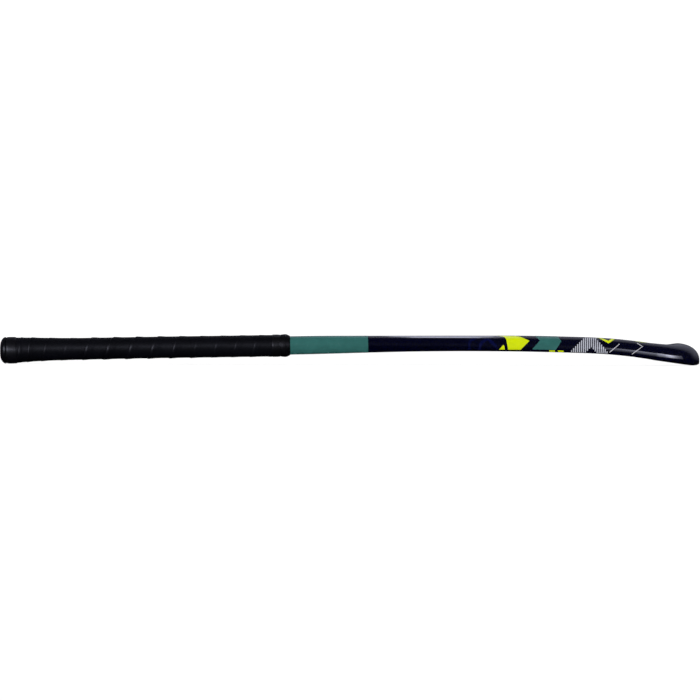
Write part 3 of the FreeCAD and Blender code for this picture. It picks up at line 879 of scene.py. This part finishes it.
# ---------------------------------------------------------------------------------------------
# The stick
# ---------------------------------------------------------------------------------------------
def build_stick():
    """Every piece that stands in for a CAD node."""
    finish_piece(make_skin(), navy_lacquer(), "outer_skin")
    finish_piece(make_panel(), face_material(), "playing_face_panel")

    cushion = rubber("cushion_foam", (0.002, 0.002, 0.003), (0.004, 0.004, 0.005), 0.7)
    under_grip = make_cushion()
    finish_piece(under_grip, cushion, "grip_cushion")
    finish_piece(make_grip(), grip_material(), "grip_wrap")
    band = tape_material("butt_tape", (0.001, 0.0008, 0.003), (0.0018, 0.0015, 0.0045), 0.4)
    finish_piece(make_butt_band(), band, "butt_band")
    tape = tape_material("closing_tape", (0.0009, 0.0009, 0.0022), (0.0018, 0.0018, 0.0035), 0.42)
    finish_piece(make_finishing_tape(), tape, "finishing_tape")
    black = (0.001, 0.001, 0.0024), (0.0018, 0.0018, 0.0036)
    collar = rubber("collar_rubber", *black, 0.42)
    finish_piece(make_collar(), collar, "grip_collar")
    cap = rubber("cap_rubber", *black, 0.34)
    finish_piece(make_cap(), cap, "butt_cap")
    badge = lacquered("badge_plastic", (0.03, 0.12, 0.108), (0.024, 0.1, 0.09))
    finish_piece(make_badge(), badge, "butt_badge")

    teal = lacquered("teal_paint", (0.032, 0.139, 0.128), (0.028, 0.124, 0.114))
    lime = lacquered("lime_print", (0.68, 0.79, 0.001), (0.62, 0.74, 0.0))
    white = lacquered("white_print", (0.55, 0.55, 0.58), (0.47, 0.47, 0.51))
    silver = lacquered("silver_print", (0.53, 0.55, 0.63), (0.43, 0.44, 0.51))
    blue = lacquered("blue_print", (0.0012, 0.0028, 0.045), (0.0008, 0.002, 0.032))
    finish_piece(make_teal_band(), teal, "paint_teal_band")
    prints = [
        ("lime_block", [LIME_BLOCK], "lime_print", lime),
        ("lime_corner", [LIME_CORNER], "lime_print", lime),
        ("teal_chevron", [TEAL_CHEVRON], "teal_paint", teal),
        ("lime_dashes", LIME_DASHES, "lime_print", lime),
        ("lime_vee", [LIME_VEE], "lime_print", lime),
        ("lime_far_vee", [LIME_FAR_VEE], "lime_print", lime),
        ("white_slash", [WHITE_SLASH], "white_print", white),
        ("white_arrow", [WHITE_ARROW], "white_print", white),
        ("blue_arches", BLUE_ARCHES, "blue_print", blue),
        ("striped_chevron", hatch_stripes(), "silver_print", silver),
    ]
    for name, outlines, slot_name, material in prints:
        height = THIN_FILM if name == "blue_arches" else FILM
        finish_piece(make_print(name, outlines, height), material, "print_" + name)


def finish_inside():
    """Materials for the CAD pieces that stay as they are, sealed inside the skin."""
    inside = {
        "carbon_laminate": woven("carbon_weave", (0.03, 0.03, 0.033), (0.006, 0.006, 0.007), 0.3),
        "aramid_head_sleeve": woven("aramid_weave", (0.65, 0.5, 0.1), (0.4, 0.28, 0.05), 0.5),
        "head_foam_core": foam("head_foam", (0.75, 0.68, 0.5), (0.6, 0.53, 0.37)),
        "handle_plug": foam("plug_foam", (0.7, 0.7, 0.68), (0.55, 0.55, 0.53)),
    }
    tube = woven("tube_weave", (0.045, 0.045, 0.048), (0.015, 0.015, 0.016), 0.4)
    inside["inner_tube_heel"] = tube
    inside["inner_tube_toe"] = tube
    for name, material in inside.items():
        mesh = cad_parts[name].data
        mesh.materials.clear()
        mesh.materials.append(material)


# ---------------------------------------------------------------------------------------------
# Floor, light and camera
# ---------------------------------------------------------------------------------------------
LENS, SENSOR = 400.0, 36.0
VIEW_WIDTH = 0.9268      # what the picture spans across the stick
VIEW_CENTRE = Vector((-0.0006, MIDDLE_Y, 0.0193))
VIEW_ROLL = math.radians(0.145)
WHITE = 1.12             # radiance of the white surroundings
BEHIND = 0.22            # radiance that reflections see behind the stick
COOL = (0.8, 0.82, 1.0)  # colour of the soft lights
FLOOR_REACH, FLOOR_GAP = 80.0, 0.0001
LIGHT_DISTANCE = 2.2

# Points that the lights are aimed at.
HEAD, SHAFT, HANDLE = (0.40, -0.05, 0.02), (0.125, -0.03, 0.035), (-0.30, -0.05, 0.02)
# The soft box over the head, in cells. It is brightest towards the hook's end, where it also hangs
# lower, and fades out to both sides. Each table goes by azimuth: the brightness there, and how many
# degrees lower it hangs.
BOX_RADIANCE = 3.9
BOX_AZIMUTHS = (0, 1.5, 3, 5, 8, 12, 17, 22, 28, 34, 40, 46, 52, 59, 67, 76)
BOX_SHARE = [
    (0, 0.1), (1.5, 0.17), (3, 0.34), (6, 0.55), (10, 0.9), (16, 1.0), (26, 1.25), (34, 1.75), (43, 1.9),
    (52, 1.1), (62, 0.5), (72, 0.22), (84, 0.1),
]
BOX_DROP = [(0, 4), (20, 3.5), (30, 8), (42, 11), (60, 13), (84, 15)]
# From low to high in the soft box: (from, to, share).
BOX_ELEVATIONS = [(1, 9, 0.3), (9, 17, 0.42), (17, 26, 0.68), (26, 35.5, 1.0)]
# The plain panels: (name, point, azimuths, elevations, radiance).
PANELS = [
    ("back_strip_high", SHAFT, (176.9, 182.2), (46, 61), 2.5),
    ("back_strip_low", SHAFT, (176.9, 182.2), (24, 46), 1.05),
    ("back_strip_end", SHAFT, (176.2, 176.9), (24, 61), 0.65),
    ("handle_front", HANDLE, (-30, -5), (2, 22), 7.5),
    ("handle_side", HANDLE, (-62, -30), (2, 26), 17.0),
]


def make_camera():
    """A long lens square on to the heel side, level with the stick."""
    camera = bpy.data.objects.new("camera", bpy.data.cameras.new("camera"))
    bpy.context.scene.collection.objects.link(camera)
    camera.data.lens, camera.data.sensor_width = LENS, SENSOR
    camera.data.clip_end = 200.0
    distance = VIEW_WIDTH * LENS / SENSOR
    level = Matrix.Rotation(math.pi / 2, 4, "X") @ Matrix.Rotation(VIEW_ROLL, 4, "Z")
    camera.matrix_world = Matrix.Translation(VIEW_CENTRE - Vector((0, distance, 0))) @ level
    bpy.context.scene.camera = camera


def make_floor():
    """A plain pale floor just under the stick, which reflections don't show."""
    size = FLOOR_REACH
    mesh = bpy.data.meshes.new("floor")
    corners = [(-size, -size, 0), (size, -size, 0), (size, size, 0), (-size, size, 0)]
    mesh.from_pydata(corners, [], [(0, 1, 2, 3)])
    floor = bpy.data.objects.new("floor", mesh)
    bpy.context.scene.collection.objects.link(floor)
    floor.location.z = GROUND - FLOOR_GAP
    finish = Finish("floor", Roughness=0.9, Specular_IOR_Level=0.1)
    finish.shader.inputs["Base Color"].default_value = (0.95, 0.95, 0.95, 1)
    floor.data.materials.append(finish.material)
    floor.visible_glossy = False


def soft_panel(name, aim, azimuths, elevations, radiance):
    """A soft light that fills a window of directions as seen from the point it lights.

    Azimuth 0 is the viewer's side and 90 the hook's end of the stick. It only makes reflections: the
    camera doesn't see it, and it adds nothing to diffuse light.
    """
    distance = LIGHT_DISTANCE
    azimuth = math.radians(sum(azimuths) / 2)
    elevation = math.radians(sum(elevations) / 2)
    across = 2 * distance * math.tan(math.radians(azimuths[1] - azimuths[0]) / 2) * math.cos(elevation)
    up = 2 * distance * math.tan(math.radians(elevations[1] - elevations[0]) / 2)
    away = Vector((
        math.sin(azimuth) * math.cos(elevation), -math.cos(azimuth) * math.cos(elevation), math.sin(elevation)
    ))
    data = bpy.data.lights.new(name, "AREA")
    data.shape, data.size, data.size_y = "RECTANGLE", across, up
    data.energy = radiance * across * up * math.pi
    data.color = COOL
    light = bpy.data.objects.new(name, data)
    bpy.context.scene.collection.objects.link(light)
    light.location = Vector(aim) + away * distance
    light.rotation_euler = (-away).to_track_quat("-Z", "Y").to_euler()
    light.visible_camera = False
    light.visible_diffuse = False


def make_world():
    """White all round. To reflections it is dark, but for a dim glow above the ground behind the stick."""
    world = bpy.data.worlds.new("studio")
    bpy.context.scene.world = world
    world.use_nodes = True
    tree = world.node_tree

    def node(kind, **values):
        made = tree.nodes.new(kind)
        for socket, value in values.items():
            made.inputs[socket.replace("_", " ")].default_value = value
        return made

    white = tree.nodes["Background"]
    white.inputs["Color"].default_value = (1, 1, 1, 1)
    white.inputs["Strength"].default_value = WHITE
    direction = node("ShaderNodeTexCoord").outputs["Generated"]
    parts = node("ShaderNodeSeparateXYZ")
    behind = node("ShaderNodeMapRange", From_Min=0.34, From_Max=0.64, To_Min=0.001, To_Max=BEHIND)
    above = node("ShaderNodeMapRange", From_Min=-0.02, From_Max=0.3, To_Min=0.02, To_Max=1.0)
    strength = tree.nodes.new("ShaderNodeMath")
    strength.operation = "MULTIPLY"
    dim = node("ShaderNodeBackground", Color=(*COOL, 1))
    mix = node("ShaderNodeMixShader")
    links = [
        (direction, parts.inputs[0]),
        (parts.outputs["Y"], behind.inputs["Value"]),
        (parts.outputs["Z"], above.inputs["Value"]),
        (behind.outputs[0], strength.inputs[0]),
        (above.outputs[0], strength.inputs[1]),
        (strength.outputs[0], dim.inputs["Strength"]),
        (node("ShaderNodeLightPath").outputs["Is Glossy Ray"], mix.inputs[0]),
        (white.outputs[0], mix.inputs[1]),
        (dim.outputs[0], mix.inputs[2]),
        (mix.outputs[0], tree.nodes["World Output"].inputs["Surface"]),
    ]
    for output, socket in links:
        tree.links.new(output, socket)


def make_studio():
    make_world()
    make_floor()
    make_camera()
    for west, east in zip(BOX_AZIMUTHS, BOX_AZIMUTHS[1:]):
        middle = (west + east) / 2
        sideways, drop = exact(BOX_SHARE, middle), exact(BOX_DROP, middle)
        for low, high, upwards in BOX_ELEVATIONS:
            low, high = max(low - drop, 1), high - drop
            if high > low:
                radiance = BOX_RADIANCE * sideways * upwards
                soft_panel("head_%g_%g" % (west, low), HEAD, (west, east), (low, high), radiance)
    for panel in PANELS:
        soft_panel(*panel)
    bpy.context.scene.view_settings.view_transform = "Standard"


make_studio()
build_stick()
finish_inside()
